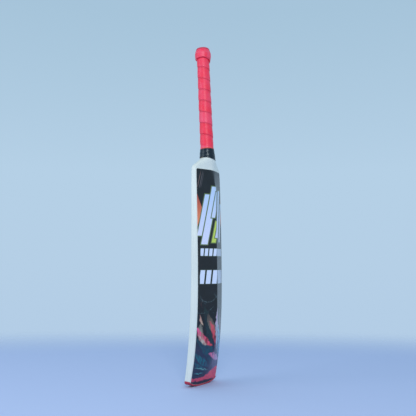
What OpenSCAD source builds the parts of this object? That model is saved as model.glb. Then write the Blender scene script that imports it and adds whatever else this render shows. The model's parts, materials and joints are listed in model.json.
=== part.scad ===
// Cricket bat, full size, short handle, in millimetres.
// +X runs across the blade, +Y out of the spined back, -Y out of the striking face, and +Z from
// the toe up to the butt of the handle.  The origin is at the level of the toe's underside, in the
// middle of the bat's width and depth.

/* [Blade] */
// Toe to butt
bat_length = 860; // [840:5:880]
// Width of the blade
blade_w = 107; // [100:1:108]
// Height of the throat, where the blade ends and the round handle begins
throat_z = 568.5; // [560:0.5:575]
// How far the toe curves forward of the lowest point of the bow
toe_kick = 19.3; // [14:0.1:22]
// How far the shoulders stand forward of the lowest point of the bow
top_kick = 3; // [1:0.5:4]
// Height of the lowest point of the bow
bow_z = 277; // [250:1:300]
// Rise of the striking face's middle over its edges
face_crown = 1.2; // [0.5:0.1:2]

/* [Edges and spine] */
// Thickness of the edges where they are thickest
edge_max = 19.6; // [17:0.1:22]
// Thickness of the edges at the toe
edge_toe = 17.6; // [16:0.1:19]
// Thickness of the edges at the shoulders
edge_shoulder = 12.2; // [11:0.1:15]
// Height of the thickest part of the edges
edge_z = 150; // [120:1:180]
// Height of the spine over the edges at the shoulders
spine_top = 21.6; // [18:0.1:24]
// Height of the spine over the edges low on the blade
spine_low = 24.2; // [20:0.1:27]
// How far the spine drops again where it runs up to the shoulders
spine_dip = 7.5; // [0:0.5:8.5]
// Length over which the spine fades away into the toe
spine_fade = 115; // [90:1:140]
// Radius of the edges' front corners
front_r = 4; // [3:0.5:5]
// Radius of the edges' back corners
back_r = 2.6; // [2:0.1:3]

/* [Toe and shoulders] */
// Half width of the toe's flat sole
sole_half = 14; // [10:1:20]
// Rise of the toe's curve from the sole to the sides of the blade
toe_rise = 8.5; // [5:0.5:12]
// Extra rise in the rounded corners of the toe
corner_rise = 3; // [1:0.5:5]
// Thickness of the rubber toe guard
guard_t = 3.5; // [2.5:0.5:5]
// Height at which the shoulders start to close in
shoulder_z = 541.5; // [538:0.5:543]
// Softness of the shoulders' corners
shoulder_soft = 3; // [2:0.1:4]
// Height of the back label's top edge
label_top = 534; // [520:1:536]
// Bare margin between the label and the edge of the blade
label_margin = 3.4; // [3:0.1:5]
// Bare margin between the label and the toe guard
label_gap = 0.6; // [0.4:0.1:3]
// Thickness of the label
label_t = 0.35; // [0.3:0.05:0.6]

/* [Handle core] */
// Forward lean of the handle, in degrees
lean = 3.5; // [2.5:0.1:4]
// Distance of the handle's axis behind the bow's lowest point, at the throat
axis_y = 9.5; // [8.5:0.1:10.5]
// Radius of the turned cane handle
cane_r = 14; // [13.5:0.1:14.2]
// Radius of the handle's flare at the throat
flare_r = 17.6; // [17:0.1:17.8]
// Height of the flare above the throat
flare_h = 29; // [26:1:34]
// Depth of the V splice below the throat
splice_d = 165; // [150:1:180]
// Half width of the V splice at the throat
splice_top = 16.4; // [15.5:0.1:16.6]
// Half width of the V splice at its tip
splice_tip = 2.4; // [2:0.1:3.5]
// Half width of the middle cane sticks
stick_half = 4.8; // [4:0.1:5.5]
// Thickness of each rubber insert between the cane layers
insert_t = 1.2; // [1:0.1:1.6]
// Distance of the outer rubber inserts' middles from the handle's axis
insert_y = 6.8; // [6:0.1:7]
// Thickness of the twine binding
twine_t = 0.5; // [0.4:0.05:0.7]

/* [Grip] */
// Length of the black throat tape
tape_h = 20; // [16:1:24]
// Outer radius of the throat tape at its foot
tape_foot_r = 20.2; // [19.6:0.1:20.6]
// Outer radius of the throat tape at its top
tape_top_r = 17.7; // [17.3:0.1:18.2]
// Height of the band that finishes the foot of the grip
band_h = 3.5; // [2.5:0.1:4.5]
// Outer radius of that band
band_r = 17.1; // [16.9:0.1:17.3]
// Outer radius of the grip at its foot
grip_foot_r = 16.7; // [16.4:0.1:16.9]
// Outer radius of the grip under the knob
grip_top_r = 15.8; // [15.5:0.1:16.2]
// Radius of the knob
knob_r = 20.4; // [19.5:0.1:21]
// Height of the knob's straight wall
knob_wall = 11.5; // [10:0.5:13]
// Distance of the knob's foot below the butt
knob_drop = 28; // [27:0.5:29]
// Radius of the padding ring inside the knob
ring_r = 17.8; // [17:0.1:18.5]
// Radius of the butt's flat end
butt_r = 15.5; // [14.5:0.1:16]
// Height of the rubber butt cap
cap_h = 4.5; // [3.5:0.1:5.5]

/* [Hidden] */

$fn = 96;
far = 26;                      // reaches past every part of the handle and the splice
half_w = blade_w / 2;
toe_power = 2.4;               // how sharply the bow turns up into the toe
top_power = 1.5;               // how sharply it turns up into the shoulders
edge_power = 1.6;              // how the edges thin towards the shoulders
toe_bend = 1.8;                // how the toe's curve starts to rise at the sole's edge
corner_power = 14;             // how close to the sides the corners' extra rise stays
toe_reach = 1.03;              // how far past the sides the toe's curve is carried on
TOE_N = 10;                    // points on each half of the toe's curve
shoulder_slope = 1.43;         // half width lost for each millimetre of height
dome_z = 538;                  // where the flat section starts to turn round towards the handle
dip_power = 1.3;               // how the spine's drop gathers towards the shoulders
collar_r = 18.6;               // radius of the blade's round top at the throat
ridge_sharp = 0.03;            // roundness of the ridge along the middle of the blade
ridge_toe = 0.9;               // how much rounder it gets at the toe
ridge_top = 0.25;              // how much rounder it gets under the shoulders
ridge_top_z = 500;             // where it starts to get rounder there
ridge_top_h = 50;              // and over how much height
chamfer = 2;                   // knob foot chamfer
rim = 0.7;                     // rounding of the butt's edge
ring_gap = 3;                  // wrap under and over the knob's padding ring
ring_slope_w = 2;              // the slope round the top of that ring
ring_slope_h = 4;
over = 1;                      // how far a cutting solid runs past what it cuts

// Distances along the handle's own axis, from the throat
butt_l = (bat_length - throat_z - butt_r * sin(lean)) / cos(lean);
cane_l = butt_l - cap_h;
knob_l = butt_l - knob_drop;
knob_wall_l = knob_l + chamfer + knob_wall;
rim_l = butt_l - rim;
rim_r = butt_r + rim;
band_l = tape_h + band_h;

// The blade's rings up to the label's top; the spine starts to drop at the last but one
BODY_N = 16;
body_power = 1.7;              // sets the rings close together near the toe
dip_z = body_z(BODY_N - 1);

function smooth(t) = let (c = min(1, max(0, t))) c * c * (3 - 2 * c);

// The striking face's edges, the edges' thickness and the spine's height at height z
function face_y(z) =
    -toe_kick * pow(max(0, (bow_z - z) / bow_z), toe_power)
    - top_kick * pow(max(0, (z - bow_z) / (throat_z - bow_z)), top_power);
function edge_t(z) = z < edge_z
    ? edge_max - (edge_max - edge_toe) * pow((edge_z - z) / edge_z, 2)
    : edge_max - (edge_max - edge_shoulder) * pow((z - edge_z) / (throat_z - edge_z), edge_power);
function dip(z) = let (t = (z - dip_z) / (label_top - dip_z)) pow(min(1, max(0, t)), dip_power);
function spine_h(z) =
    1 + (spine_low + (spine_top - spine_low) * z / throat_z - 1) * smooth(z / spine_fade)
    - spine_dip * dip(z);
function handle_y(z) = axis_y + (throat_z - z) * tan(lean);

// How rounded the ridge is, how far the section has turned round, and its half width
function ridge_soft(z) = ridge_sharp + ridge_toe * (1 - smooth(z / spine_fade))
    + ridge_top * smooth((z - ridge_top_z) / ridge_top_h);
function roundness(z) = smooth((z - dome_z) / (throat_z - dome_z));
function shoulder_close(z) = let (d = z - shoulder_z)
    shoulder_slope * (d + sqrt(d * d + 4 * shoulder_soft * shoulder_soft)) / 2;
function width_at(z) = half_w - shoulder_close(z);

// Fall of the back from the ridge (u = 0) to the edge (u = 1)
function tent(u, k) = 1 - (sqrt(u * u + k * k) - k) / (sqrt(1 + k * k) - k);

// Half of the flat section, from the middle of the face round the edge to the ridge
FACE_U = [0, 0.35, 0.7];
BACK_U = [0.84, 0.68, 0.5, 0.33, 0.18, 0.07, 0];
diag = 1 - sqrt(0.5);          // inset of the middle of a rounded corner
function half_section(z) =
    let (w = width_at(z), f = face_y(z), b = f + edge_t(z), s = spine_h(z), k = ridge_soft(z),
         m = w - label_margin)
    concat([for (u = FACE_U) [u * w, f - face_crown * (1 - u * u)]],
           [[w - front_r, f], [w - front_r * diag, f + front_r * diag], [w, f + front_r]],
           [[w, b - back_r], [w - back_r * diag, b - back_r * diag],
            [w - back_r, b + s * tent(1 - back_r / w, k)]],
           [[m, b + s * tent(m / w, k)]],
           [for (u = BACK_U) [u * w, b + s * tent(u, k)]]);
HALF_N = 17;
LABEL_I = 9;                   // the point of the half section where the label ends

// The same section, turned round towards the circle of the handle as it nears the throat
function rounded_half(z) =
    let (c = roundness(z), w = width_at(z), flat = half_section(z), y0 = handle_y(z))
    [for (i = [0:HALF_N - 1])
        let (a = -90 + 180 * i / (HALF_N - 1),
             x = flat[i][0] * (1 - c) + w * cos(a) * c,
             y = flat[i][1] * (1 - c) + (y0 + collar_r * cos(lean) * sin(a)) * c)
        [i == 0 || i == HALF_N - 1 ? 0 : x, y, z + c * tan(lean) * (y - y0)]];
function ring(z) =
    let (h = rounded_half(z))
    concat(h, [for (i = [HALF_N - 2:-1:1]) [-h[i][0], h[i][1], h[i][2]]]);
RING_N = 2 * HALF_N - 2;
function rings(heights) = [for (z = heights) ring(z)];

// Heights of the rings: from just below the toe to the label's top, and on up the shoulders
function body_z(i) = -over + (label_top + over) * pow(i / BODY_N, body_power);
BODY_Z = [for (i = [0:BODY_N]) body_z(i)];
SHOULDER_N = 11;
SHOULDER_Z = [for (i = [1:SHOULDER_N]) label_top + (throat_z - label_top) * i / SHOULDER_N];
tip_z = throat_z - splice_d - 3;
SPLICE_Z = [for (i = [0:BODY_N]) if (i == BODY_N || BODY_Z[i + 1] > tip_z) BODY_Z[i]];
toe_top = toe_rise + corner_rise + guard_t + over;
GUARD_Z = [for (i = [0:BODY_N]) if (i < 2 || BODY_Z[i - 1] < toe_top) BODY_Z[i]];

// The toe's line seen from the back, from the sole's edge (u = 0) to the blade's side (u = 1)
function toe_point(u, lift) =
    [sole_half + (half_w - sole_half) * u,
     toe_rise * pow(u, toe_bend) + corner_rise * pow(u, corner_power) + lift];
function toe_line(lift) =
    let (half = [for (i = [0:TOE_N]) toe_point(toe_reach * sin(90 * i / TOE_N), lift)])
    concat([for (i = [TOE_N:-1:0]) [-half[i][0], half[i][1]]], half);

// The bat's front-to-back middle: half way between the knob's front and the top of the spine
spine_y = max([for (z = BODY_Z) face_y(z) + edge_t(z) + spine_h(z)]) + label_t;
knob_y = handle_y(throat_z) - knob_wall_l * sin(lean) - knob_r * cos(lean);
mid_y = (spine_y + knob_y) / 2;

module centred() {
    translate([0, -mid_y, 0]) children();
}

module handle_frame() {
    translate([0, axis_y - mid_y, throat_z]) rotate([lean, 0, 0]) children();
}

// A closed skin over a stack of rings with flat ends
module loft(stack) {
    n = RING_N;
    last = (len(stack) - 1) * n;
    polyhedron(
        points = [for (r = stack) each r],
        faces = concat(
            [[for (i = [0:n - 1]) i]],
            [for (r = [0:len(stack) - 2], i = [0:n - 1])
                let (a = r * n + i, b = r * n + (i + 1) % n) each [[a, a + n, b], [b, a + n, b + n]]],
            [[for (i = [n - 1:-1:0]) last + i]]),
        convexity = 6);
}

// A thin sheet that lies on the blade's back, with the same facets as the blade
function back_row(z) = let (r = ring(z)) [for (i = [LABEL_I:RING_N - LABEL_I]) r[i]];
module back_sheet(heights, t) {
    m = RING_N - 2 * LABEL_I + 1;
    rows = len(heights);
    size = m * rows;
    under = [for (z = heights) each back_row(z)];
    over = [for (p = under) p + [0, t, 0]];
    polyhedron(
        points = concat(under, over),
        faces = concat(
            [for (r = [0:rows - 2], i = [0:m - 2])
                let (a = r * m + i, b = a + 1) each [[a, b, a + m], [b, b + m, a + m]]],
            [for (r = [0:rows - 2], i = [0:m - 2])
                let (a = size + r * m + i, b = a + 1) each [[a, a + m, b], [b, a + m, b + m]]],
            [for (i = [0:m - 2]) [i, i + size, i + 1 + size, i + 1]],
            [for (i = [0:m - 2]) let (a = (rows - 1) * m + i) [a, a + 1, a + 1 + size, a + size]],
            [for (r = [0:rows - 2]) let (a = r * m) [a, a + m, a + m + size, a + size]],
            [for (r = [0:rows - 2]) let (a = r * m + m - 1) [a, a + size, a + m + size, a + m]]),
        convexity = 6);
}

// An outline seen from the back, carried right through the blade from front to back
module through_blade(outline) {
    rotate([90, 0, 0]) linear_extrude(height = 4 * far, center = true) polygon(outline);
}

// All that lies above the toe's line once it is lifted
module above_toe(lift) {
    side = toe_point(toe_reach, lift)[0];
    through_blade(concat(toe_line(lift), [[side, bat_length], [-side, bat_length]]));
}

// The V of the splice, right through the blade, in the handle's own frame
module splice_v(top_l) {
    rise = top_l * (splice_top - splice_tip) / splice_d;
    rotate([90, 0, 0]) linear_extrude(height = 2 * far, center = true)
        polygon([[-splice_tip, -splice_d], [splice_tip, -splice_d],
                 [splice_top + rise, top_l], [-splice_top - rise, top_l]]);
}

module turned_cane() {
    rotate_extrude()
        polygon([[0, 0], [flare_r, 0], [cane_r, flare_h], [cane_r, cane_l], [0, cane_l]]);
}

// The layers' bounds from the axis, front to back, and the sticks' from left to right
layer_lo = insert_t / 2;
LAYERS = [[-far, -insert_y - layer_lo], [-insert_y + layer_lo, -layer_lo],
          [layer_lo, insert_y - layer_lo], [insert_y + layer_lo, far]];
STICKS = [[-far, -stick_half], [-stick_half, stick_half], [stick_half, far]];

module slab(xs, ys) {
    translate([xs[0], ys[0], -splice_d - over])
        cube([xs[1] - xs[0], ys[1] - ys[0], splice_d + cane_l + 2 * over]);
}

// One cane stick; those of the outer layers are planed flush with the blade
module cane_stick(layer, stick, tone) {
    color(tone) {
        handle_frame() intersection() {
            turned_cane();
            slab(STICKS[stick], LAYERS[layer]);
        }
        intersection() {
            if (layer == 0 || layer == 3) centred() loft(rings(concat(SPLICE_Z, SHOULDER_Z)));
            handle_frame() intersection() {
                splice_v(0);
                slab(STICKS[stick], LAYERS[layer]);
            }
        }
    }
}

module rubber_insert(y) {
    color("dimgray") handle_frame() intersection() {
        union() {
            turned_cane();
            splice_v(0);
        }
        slab([-far, far], [y - insert_t / 2, y + insert_t / 2]);
    }
}

module blade() {
    color("whitesmoke") difference() {
        intersection() {
            centred() loft(rings(concat(BODY_Z, SHOULDER_Z)));
            above_toe(guard_t);
        }
        handle_frame() splice_v(4 * over);
    }
}

module back_label() {
    color([0.16, 0.18, 0.21]) intersection() {
        centred() back_sheet(BODY_Z, label_t);
        above_toe(guard_t + label_gap);
    }
}

// The guard follows the toe's curve, and is as deep as the blade from front to back
module toe_guard() {
    top = toe_line(guard_t);
    color([0.62, 0.12, 0.16]) intersection() {
        centred() loft(rings(GUARD_Z));
        through_blade(concat(toe_line(0), [for (i = [len(top) - 1:-1:0]) top[i]]));
    }
}

// Outer radius of the bound handle at distance l above the throat
function bound_r(l) = twine_t + (l < flare_h ? flare_r + (cane_r - flare_r) * l / flare_h : cane_r);

module twine_binding() {
    color("burlywood") handle_frame() rotate_extrude()
        polygon([[flare_r, 0], [bound_r(0), 0], [bound_r(flare_h), flare_h],
                 [bound_r(flare_h), cane_l], [cane_r, cane_l], [cane_r, flare_h]]);
}

module throat_tape() {
    color([0.1, 0.12, 0.14]) handle_frame() rotate_extrude()
        polygon([[bound_r(0), 0], [tape_foot_r, 0], [tape_top_r, tape_h], [bound_r(tape_h), tape_h]]);
}

module grip_band() {
    edge = band_h / 4;
    color([0.9, 0.33, 0.3]) handle_frame() rotate_extrude()
        polygon([[bound_r(tape_h), tape_h], [band_r - edge, tape_h], [band_r, tape_h + edge],
                 [band_r, band_l - edge], [band_r - edge, band_l], [bound_r(band_l), band_l]]);
}

module grip_wrap() {
    color([0.84, 0.2, 0.3]) handle_frame() rotate_extrude()
        polygon([[bound_r(band_l), band_l], [grip_foot_r, band_l], [grip_top_r, knob_l],
                 [bound_r(knob_l), knob_l], [bound_r(flare_h), flare_h]]);
}

// The knob's tapered top, from its wall to the rim of the butt
function knob_taper(l) = knob_r + (rim_r - knob_r) * (l - knob_wall_l) / (rim_l - knob_wall_l);
ring_foot_l = knob_l + ring_gap;
ring_top_l = cane_l - ring_gap;

module knob_ring() {
    color("tan") handle_frame() rotate_extrude()
        polygon([[bound_r(knob_l), ring_foot_l], [ring_r, ring_foot_l],
                 [ring_r, ring_top_l - ring_slope_h], [ring_r - ring_slope_w, ring_top_l],
                 [bound_r(knob_l), ring_top_l]]);
}

module knob_wrap() {
    color([0.8, 0.19, 0.29]) handle_frame() rotate_extrude()
        polygon([[bound_r(knob_l), knob_l], [knob_r - chamfer, knob_l], [knob_r, knob_l + chamfer],
                 [knob_r, knob_wall_l], [knob_taper(cane_l), cane_l], [bound_r(knob_l), cane_l],
                 [bound_r(knob_l), ring_top_l], [ring_r - ring_slope_w, ring_top_l],
                 [ring_r, ring_top_l - ring_slope_h], [ring_r, ring_foot_l],
                 [bound_r(knob_l), ring_foot_l]]);
}

module butt_cap() {
    color([0.72, 0.16, 0.25]) handle_frame() rotate_extrude()
        polygon([[0, cane_l], [knob_taper(cane_l), cane_l], [rim_r, rim_l], [butt_r, butt_l],
                 [0, butt_l]]);
}

blade();
back_label();
toe_guard();
cane_stick(0, 0, "wheat");  // cane_front_left
cane_stick(0, 1, "burlywood");  // cane_front_middle
cane_stick(0, 2, "wheat");  // cane_front_right
cane_stick(1, 0, "burlywood");  // cane_inner_front_left
cane_stick(1, 1, "wheat");  // cane_inner_front_middle
cane_stick(1, 2, "burlywood");  // cane_inner_front_right
cane_stick(2, 0, "wheat");  // cane_inner_back_left
cane_stick(2, 1, "burlywood");  // cane_inner_back_middle
cane_stick(2, 2, "wheat");  // cane_inner_back_right
cane_stick(3, 0, "burlywood");  // cane_back_left
cane_stick(3, 1, "wheat");  // cane_back_middle
cane_stick(3, 2, "burlywood");  // cane_back_right
rubber_insert(-insert_y);  // insert_front
rubber_insert(0);  // insert_middle
rubber_insert(insert_y);  // insert_back
twine_binding();
throat_tape();
grip_wrap();
grip_band();
knob_ring();
knob_wrap();
butt_cap();
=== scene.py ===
"""Cricket bat: the looks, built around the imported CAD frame.

Sizes are in millimetres in the CAD's own frame and become metres when a mesh is made.  The bat
stands on its toe: +Z runs up the handle, +Y out of the spined back, -Y out of the striking face.
Pieces of the handle are worked out along its own leaning axis, with height l above the throat.
"""

import json
import math

import bmesh
import bpy
import numpy as np
from mathutils import Matrix, Vector


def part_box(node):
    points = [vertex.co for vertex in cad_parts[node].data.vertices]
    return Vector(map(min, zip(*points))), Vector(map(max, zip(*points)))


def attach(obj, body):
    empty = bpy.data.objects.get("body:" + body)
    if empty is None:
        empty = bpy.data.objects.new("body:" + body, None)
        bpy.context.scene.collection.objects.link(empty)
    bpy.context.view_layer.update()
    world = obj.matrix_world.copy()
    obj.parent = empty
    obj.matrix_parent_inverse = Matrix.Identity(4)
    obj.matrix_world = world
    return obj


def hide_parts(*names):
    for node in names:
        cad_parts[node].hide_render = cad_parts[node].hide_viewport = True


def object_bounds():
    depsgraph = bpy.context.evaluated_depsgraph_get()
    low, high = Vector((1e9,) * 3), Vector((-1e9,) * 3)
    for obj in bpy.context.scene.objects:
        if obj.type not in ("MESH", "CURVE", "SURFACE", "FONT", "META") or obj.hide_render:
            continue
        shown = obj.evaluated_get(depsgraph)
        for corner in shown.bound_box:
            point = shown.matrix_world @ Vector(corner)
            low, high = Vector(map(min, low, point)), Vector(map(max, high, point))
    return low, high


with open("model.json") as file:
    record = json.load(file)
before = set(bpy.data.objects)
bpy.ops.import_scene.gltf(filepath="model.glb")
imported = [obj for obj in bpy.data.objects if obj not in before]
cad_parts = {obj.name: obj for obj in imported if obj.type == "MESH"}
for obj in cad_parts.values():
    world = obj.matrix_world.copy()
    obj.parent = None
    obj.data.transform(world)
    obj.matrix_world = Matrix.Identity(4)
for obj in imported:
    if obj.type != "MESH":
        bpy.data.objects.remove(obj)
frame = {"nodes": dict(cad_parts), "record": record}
cad_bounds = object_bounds()

MM = 0.001
TURN = 2 * math.pi


def smooth(t):
    """0 below 0, 1 above 1, and an S curve between."""
    c = np.clip(t, 0, 1)
    return c * c * (3 - 2 * c)


# ------------------------------------------------------------------------- the bat's design
BAT_LENGTH = (cad_bounds[1].z - cad_bounds[0].z) / MM
THROAT_Z = 568.5
HALF_W = 53.5
TOE_KICK, TOE_POWER = 19.3, 2.4
TOP_KICK, TOP_POWER = 3.0, 1.5
BOW_Z = 277.0
FACE_CROWN = 1.2
EDGE_MAX, EDGE_TOE, EDGE_SHOULDER = 19.6, 17.6, 12.2
EDGE_Z, EDGE_POWER = 150.0, 1.6
SPINE_TOP, SPINE_LOW, SPINE_FADE = 21.6, 24.2, 115.0
SPINE_DIP, DIP_Z, DIP_POWER = 7.5, 478.4, 1.3
FRONT_R, BACK_R = 4.0, 2.6
SOLE_HALF, TOE_RISE, TOE_BEND = 14.0, 8.5, 1.8
CORNER_RISE, CORNER_POWER = 3.0, 14
GUARD_T, GUARD_R, LABEL_GAP = 3.5, 1.6, 0.6
SHOULDER_Z, SHOULDER_SOFT, SHOULDER_SLOPE = 541.5, 3.0, 1.43
DOME_Z, COLLAR_R = 538.0, 18.6
LABEL_TOP, LABEL_MARGIN, LABEL_T = 534.0, 3.4, 0.35
AXIS_Y = 9.5
CANE_R, FLARE_R, FLARE_H, TWINE_T = 14.0, 17.6, 29.0, 0.5
TAPE_H, TAPE_FOOT_R, TAPE_TOP_R = 20.0, 20.2, 17.7
BAND_H, BAND_R = 3.5, 17.1
GRIP_FOOT_R, GRIP_TOP_R = 16.7, 15.8
KNOB_R, KNOB_WALL, KNOB_DROP, KNOB_CHAMFER = 20.4, 11.5, 28.0, 2.0
RING_R, RING_GAP, RING_SLOPE_W, RING_SLOPE_H = 17.8, 3.0, 2.0, 4.0
BUTT_R, BUTT_RIM, CAP_H = 15.5, 0.7, 4.5

# The lacquer: its thickness, and how much more of it fills the spine over the splice, and where
LACQUER, SPLICE_FILL = 0.25, 0.6
FILL_START, FILL_RISE = 465.0, 30.0
FILL_END, FILL_FALL = 536.0, 22.0

# How rounded the ridge is: low on the blade, the gain higher up, and the extra at the toe and the top
RIDGE_SHARP, RIDGE_GAIN, RIDGE_GAIN_Z, RIDGE_GAIN_H = 0.012, 0.018, 330.0, 60.0
RIDGE_TOE, RIDGE_TOP, RIDGE_TOP_Z, RIDGE_TOP_H = 0.9, 0.25, 500.0, 50.0

mounts = {m["name"]: m for m in frame["record"]["mounts"]}
handle_axis = Vector(mounts["butt_end"]["axis"]).normalized()
LEAN = math.atan2(-handle_axis.y, handle_axis.z)
BUTT_L = (BAT_LENGTH - THROAT_Z - BUTT_R * math.sin(LEAN)) / math.cos(LEAN)
CANE_L = BUTT_L - CAP_H
KNOB_L = BUTT_L - KNOB_DROP
KNOB_WALL_L = KNOB_L + KNOB_CHAMFER + KNOB_WALL
RIM_L, RIM_R = BUTT_L - BUTT_RIM, BUTT_R + BUTT_RIM
BAND_L = TAPE_H + BAND_H

throat = Vector(mounts["butt_end"]["pos_m"]) - handle_axis * BUTT_L * MM
to_handle = Matrix.Translation(throat) @ Matrix.Rotation(LEAN, 4, "X") @ Matrix.Scale(MM, 4)


def face_y(z):
    """The edges of the striking face, which bows back to BOW_Z and forward to both ends."""
    low = np.maximum(0, (BOW_Z - z) / BOW_Z)
    high = np.maximum(0, (z - BOW_Z) / (THROAT_Z - BOW_Z))
    return -TOE_KICK * low ** TOE_POWER - TOP_KICK * high ** TOP_POWER


def edge_t(z):
    """Thickness of the blade's edges."""
    low = EDGE_MAX - (EDGE_MAX - EDGE_TOE) * np.maximum(0, (EDGE_Z - z) / EDGE_Z) ** 2
    high = np.maximum(0, (z - EDGE_Z) / (THROAT_Z - EDGE_Z)) ** EDGE_POWER
    return np.where(z < EDGE_Z, low, EDGE_MAX - (EDGE_MAX - EDGE_SHOULDER) * high)


def spine_h(z):
    """Height of the spine over the edges' back."""
    tall = SPINE_LOW + (SPINE_TOP - SPINE_LOW) * z / THROAT_Z
    fill = SPLICE_FILL * smooth((z - FILL_START) / FILL_RISE) * smooth((FILL_END - z) / FILL_FALL)
    dip = SPINE_DIP * np.clip((z - DIP_Z) / (LABEL_TOP - DIP_Z), 0, 1) ** DIP_POWER
    return 1 + (tall - 1) * smooth(z / SPINE_FADE) - dip + fill


def handle_y(z):
    """Where the handle's leaning axis lies at height z."""
    return AXIS_Y + (THROAT_Z - z) * math.tan(LEAN)


def ridge_soft(z):
    """How rounded the ridge is: 0 is a knife edge."""
    crisp = RIDGE_SHARP + RIDGE_GAIN * smooth((z - RIDGE_GAIN_Z) / RIDGE_GAIN_H)
    ends = RIDGE_TOE * (1 - smooth(z / SPINE_FADE))
    return crisp + ends + RIDGE_TOP * smooth((z - RIDGE_TOP_Z) / RIDGE_TOP_H)


def width_at(z):
    """Half width of the blade, which closes in at the shoulders."""
    d = z - SHOULDER_Z
    return HALF_W - SHOULDER_SLOPE * (d + np.sqrt(d * d + 4 * SHOULDER_SOFT ** 2)) / 2


def toe_line(x, lift=0.0):
    """Height of the toe's underside at x across, flat in the middle and rising to the sides."""
    u = np.clip((np.abs(x) - SOLE_HALF) / (HALF_W - SOLE_HALF), 0, 1)
    return TOE_RISE * u ** TOE_BEND + CORNER_RISE * u ** CORNER_POWER + lift


def tent(u, k):
    """Fall of the back from the ridge (u = 0) to the edge (u = 1)."""
    return 1 - (np.sqrt(u * u + k * k) - k) / (np.sqrt(1 + k * k) - k)


def back_y(x, z):
    """The blade's back at x across and height z, before it turns round into the handle."""
    return face_y(z) + edge_t(z) + spine_h(z) * tent(np.abs(x) / width_at(z), ridge_soft(z))


# The back label's highest line is the top of the spine, which ties the design to the CAD's depth
spine_line = np.linspace(0, LABEL_TOP, 400)
MID_Y = float(back_y(0.0, spine_line).max()) + LABEL_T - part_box("back_label")[1].y / MM


def bound_r(l):
    """Outer radius of the twine-bound handle at l above the throat."""
    flare = FLARE_R + (CANE_R - FLARE_R) * np.clip(l / FLARE_H, 0, 1)
    return flare + TWINE_T


def grip_r(l):
    """Middle radius of the wrapped grip at l above the throat."""
    return GRIP_FOOT_R + (GRIP_TOP_R - GRIP_FOOT_R) * (l - BAND_L) / (KNOB_L - BAND_L)


def knob_taper(l):
    """Radius of the knob's straight taper from its wall up to the rim."""
    return KNOB_R + (RIM_R - KNOB_R) * (l - KNOB_WALL_L) / (RIM_L - KNOB_WALL_L)


# ------------------------------------------------------------------------- mesh helpers
def make_piece(name, points, faces, material, slot, place=None):
    """A piece of the bat from points in millimetres; place is the handle's matrix, or None."""
    mesh = bpy.data.meshes.new(name)
    mesh.from_pydata([tuple(p) for p in points], [], faces)
    mesh.transform(place or Matrix.Translation((0, -MID_Y * MM, 0)) @ Matrix.Scale(MM, 4))
    mesh.polygons.foreach_set("use_smooth", [True] * len(mesh.polygons))
    mesh.materials.append(material)
    piece = bpy.data.objects.new(name, mesh)
    bpy.context.scene.collection.objects.link(piece)
    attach(piece, "root")
    return piece


def band_faces(first, second, closed=True):
    """Quads between two rows of point numbers."""
    n = len(first)
    last = n if closed else n - 1
    return [(first[i], first[(i + 1) % n], second[(i + 1) % n], second[i]) for i in range(last)]


def loft(rings, loop=False):
    """Points and faces of a closed skin over equal rings; loop joins the last ring to the first."""
    n = len(rings[0])
    points = np.concatenate(rings)
    rows = [list(range(r * n, r * n + n)) for r in range(len(rings))]
    faces = [f for a, b in zip(rows, rows[1:]) for f in band_faces(a, b)]
    if loop:
        faces += band_faces(rows[-1], rows[0])
    else:
        faces += [tuple(reversed(rows[0])), tuple(rows[-1])]
    return points, faces


def soft_line(knots, per_span):
    """A smooth curve through the knots, with per_span points from each to the next."""
    k = np.array(knots, float)
    ends = np.concatenate([[2 * k[0] - k[1]], k, [2 * k[-1] - k[-2]]])
    out = []
    for i in range(1, len(k)):
        a, b, c, d = ends[i - 1:i + 3]
        for t in np.linspace(0, 1, per_span, endpoint=False):
            out.append(0.5 * (2 * b + (c - a) * t + (2 * a - 5 * b + 4 * c - d) * t ** 2
                              + (3 * b - a - 3 * c + d) * t ** 3))
    return np.array(out + [k[-1]])


def polar_ring(radius, l, phi):
    """Points of one ring round the handle's axis."""
    return np.stack([radius * np.cos(phi), radius * np.sin(phi), l + 0 * phi], 1)


# ------------------------------------------------------------------------- shader helpers
def feed(tree, place, value):
    """Links a Field to a node's input, or sets the input to a plain number."""
    if isinstance(value, Field):
        tree.links.new(value.socket, place)
    else:
        place.default_value = value


class Field:
    """A number that the shader works out at each point; arithmetic on it adds Math nodes."""

    def __init__(self, tree, socket):
        self.tree, self.socket = tree, socket

    def math(self, operation, *others):
        node = self.tree.nodes.new("ShaderNodeMath")
        node.operation = operation
        for place, value in zip(node.inputs, (self, *others)):
            feed(self.tree, place, value)
        return Field(self.tree, node.outputs[0])

    def __add__(self, other):
        return self.math("ADD", other)

    def __sub__(self, other):
        return self.math("SUBTRACT", other)

    def __mul__(self, other):
        return self.math("MULTIPLY", other)

    def __truediv__(self, other):
        return self.math("DIVIDE", other)

    def abs(self):
        return self.math("ABSOLUTE")

    def least(self, other):
        return self.math("MINIMUM", other)

    def most(self, other):
        return self.math("MAXIMUM", other)

    def floor(self):
        return self.math("FLOOR")

    def fract(self):
        return self.math("FRACT")

    def sin(self):
        return self.math("SINE")

    def root(self):
        return self.math("SQRT")

    def power(self, other):
        return self.math("POWER", other)

    def ramp(self, low, high, to_low=0.0, to_high=1.0):
        """An S curve that goes from to_low to to_high as the field goes from low to high."""
        node = self.tree.nodes.new("ShaderNodeMapRange")
        node.interpolation_type = "SMOOTHSTEP"
        self.tree.links.new(self.socket, node.inputs["Value"])
        for place, value in zip(("From Min", "From Max", "To Min", "To Max"), (low, high, to_low, to_high)):
            node.inputs[place].default_value = value
        return Field(self.tree, node.outputs["Result"])


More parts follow.
